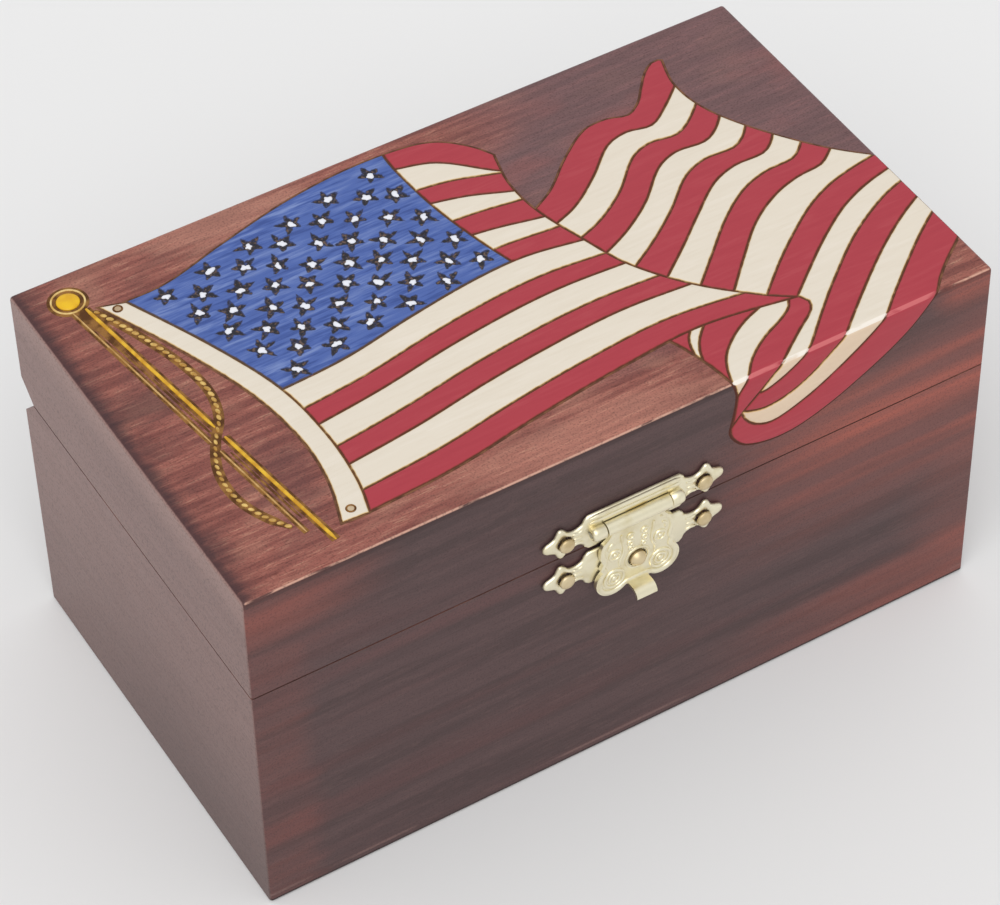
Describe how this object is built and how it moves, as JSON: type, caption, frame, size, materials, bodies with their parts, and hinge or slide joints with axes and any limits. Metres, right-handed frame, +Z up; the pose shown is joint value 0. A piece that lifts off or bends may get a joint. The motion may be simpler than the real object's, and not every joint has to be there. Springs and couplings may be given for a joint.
{
  "type": "hinged keepsake box",
  "caption": "Small stained-wood keepsake box with mitred walls, a lid on let-in brass butt hinges that opens upright, and a pressed-brass hasp that drops over a stud on the front.",
  "frame": {"origin": "middle of the box's underside, without the latch", "axes": "+X along the box to its right end as seen from the front, +Y to the back, +Z up"},
  "size_m": [0.152, 0.0925, 0.08],
  "materials": {
    "stained_wood": "red-brown stain under satin lacquer",
    "latch_brass": "bright pale brass plating",
    "nail_brass": "dulled brass",
    "hinge_brass": "plain brass",
    "pin_steel": "drawn wire",
    "carved_red": "red stain on carved relief",
    "carved_cream": "cream paint on carved relief",
    "carved_blue": "blue stain on carved relief",
    "carved_gold": "gold paint on carved relief",
    "burned_wood": "burned outline"
  },
  "bodies": {
    "base": {"bottom_board": "stained_wood", "base_front_wall": "stained_wood", "base_back_wall": "stained_wood", "base_left_wall": "stained_wood", "base_right_wall": "stained_wood", "left_hinge_base_leaf": "hinge_brass", "left_hinge_pin": "pin_steel", "right_hinge_base_leaf": "hinge_brass", "right_hinge_pin": "pin_steel", "hinge_base_nails": "nail_brass", "latch_catch_plate": "latch_brass", "latch_catch_stud": "latch_brass", "latch_catch_plate_nails": "nail_brass"},
    "lid": {"lid_top_board": "stained_wood", "lid_front_wall": "stained_wood", "lid_back_wall": "stained_wood", "lid_left_wall": "stained_wood", "lid_right_wall": "stained_wood", "left_hinge_lid_leaf": "hinge_brass", "right_hinge_lid_leaf": "hinge_brass", "hinge_lid_nails": "nail_brass", "latch_hinge_plate": "latch_brass", "latch_hinge_pin": "pin_steel", "latch_hinge_plate_nails": "nail_brass"},
    "hasp": {"latch_hasp": "latch_brass"}
  },
  "joints": [
    {"name": "lid_hinge", "type": "hinge", "parent": "base", "child": "lid", "pos_m": [0, 0.0389, 0.056], "axis": [-1, 0, 0], "range_deg": [0, 90]},
    {"name": "hasp_hinge", "type": "hinge", "parent": "lid", "child": "hasp", "pos_m": [0, -0.0452, 0.0603], "axis": [-1, 0, 0], "range_deg": [0, 170]}
  ]
}
